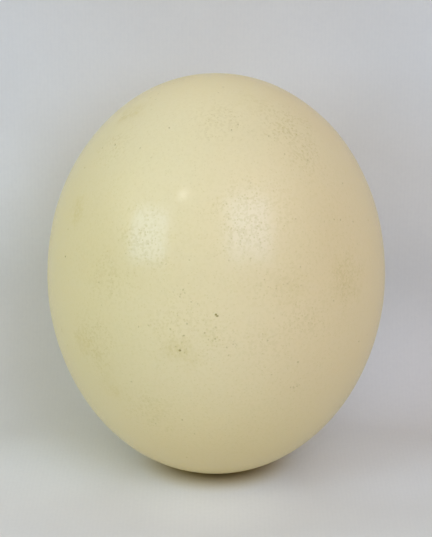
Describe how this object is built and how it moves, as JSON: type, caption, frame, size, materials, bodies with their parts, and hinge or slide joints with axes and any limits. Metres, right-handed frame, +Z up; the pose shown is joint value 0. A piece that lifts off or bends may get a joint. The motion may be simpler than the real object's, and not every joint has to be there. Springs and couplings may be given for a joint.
{
  "type": "ostrich egg",
  "caption": "Whole ostrich egg with a smooth, finely pored cream shell, standing upright on a small flat spot at its lower end.",
  "frame": {"origin": "centre of the small flat spot at the lower end, on the surface that the egg stands on", "axes": "+Z up along the egg's long axis, from the flat spot to the upper pole; the egg is round about Z, so +X and +Y are any two level directions, with the side that is usually seen facing -Y"},
  "size_m": [0.128, 0.128, 0.1539],
  "materials": {
    "eggshell": "satin"
  },
  "bodies": {
    "root": {"egg": "eggshell"}
  },
  "joints": []
}
